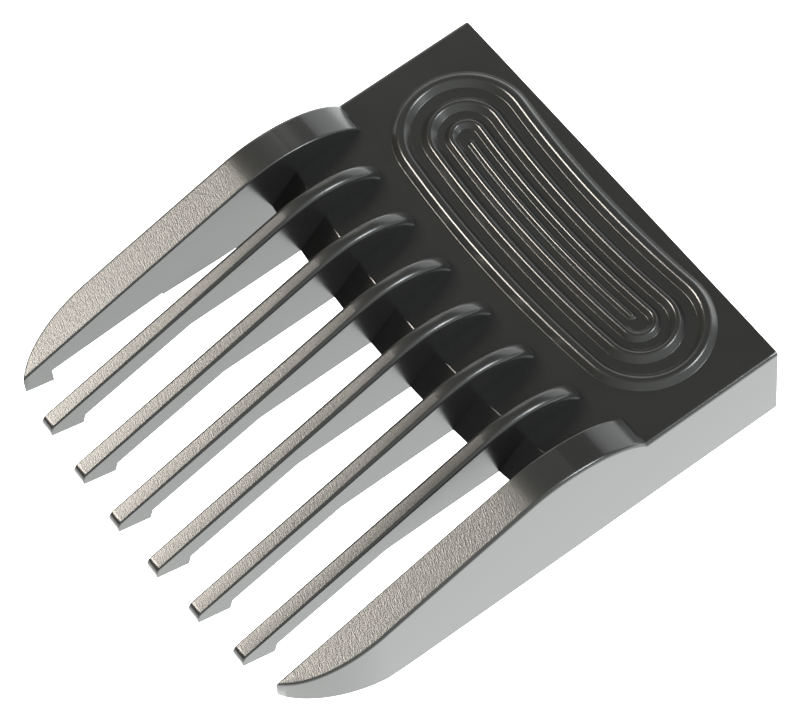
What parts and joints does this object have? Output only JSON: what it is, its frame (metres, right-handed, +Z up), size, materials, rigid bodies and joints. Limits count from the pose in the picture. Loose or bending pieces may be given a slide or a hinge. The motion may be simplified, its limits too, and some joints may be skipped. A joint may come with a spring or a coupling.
{
  "type": "clipper guard comb",
  "caption": "Slide-on guide comb for a hair clipper blade: flat crown with a ridged finger grip, sloping teeth with hooked tips and a sprung rear latch.",
  "frame": {"origin": "on the ground plane under the middle of the comb's bounding box", "axes": "+Y from the tooth tips towards the rear (handle) edge, +Z up to the crown plate's skin side, +X across the comb to its right"},
  "size_m": [0.0486, 0.0584, 0.0142],
  "materials": {
    "crown": "semi-gloss black injection moulding",
    "teeth": "gloss black sides, satin-textured top edges",
    "grip": "semi-gloss black with rounded ridges"
  },
  "bodies": {
    "comb": {"crown_plate": "crown", "finger_grip": "grip", "crossbar": "crown", "left_side_wall": "crown", "right_side_wall": "crown", "left_outer_tooth": "teeth", "right_outer_tooth": "teeth", "inner_tooth_1": "teeth", "inner_tooth_2": "teeth", "inner_tooth_3": "teeth", "inner_tooth_4": "teeth", "inner_tooth_5": "teeth", "inner_tooth_6": "teeth", "rear_wall": "crown", "left_seat_rib": "crown", "right_seat_rib": "crown"},
    "latch": {"latch_tongue": "crown", "latch_catch": "crown"}
  },
  "joints": [
    {"name": "latch_flex", "type": "hinge", "parent": "comb", "child": "latch", "pos_m": [0, 0.02863, 0.007], "axis": [1, 0, 0], "range_deg": [0, 8], "stiffness_Nm_per_rad": 0.25}
  ]
}
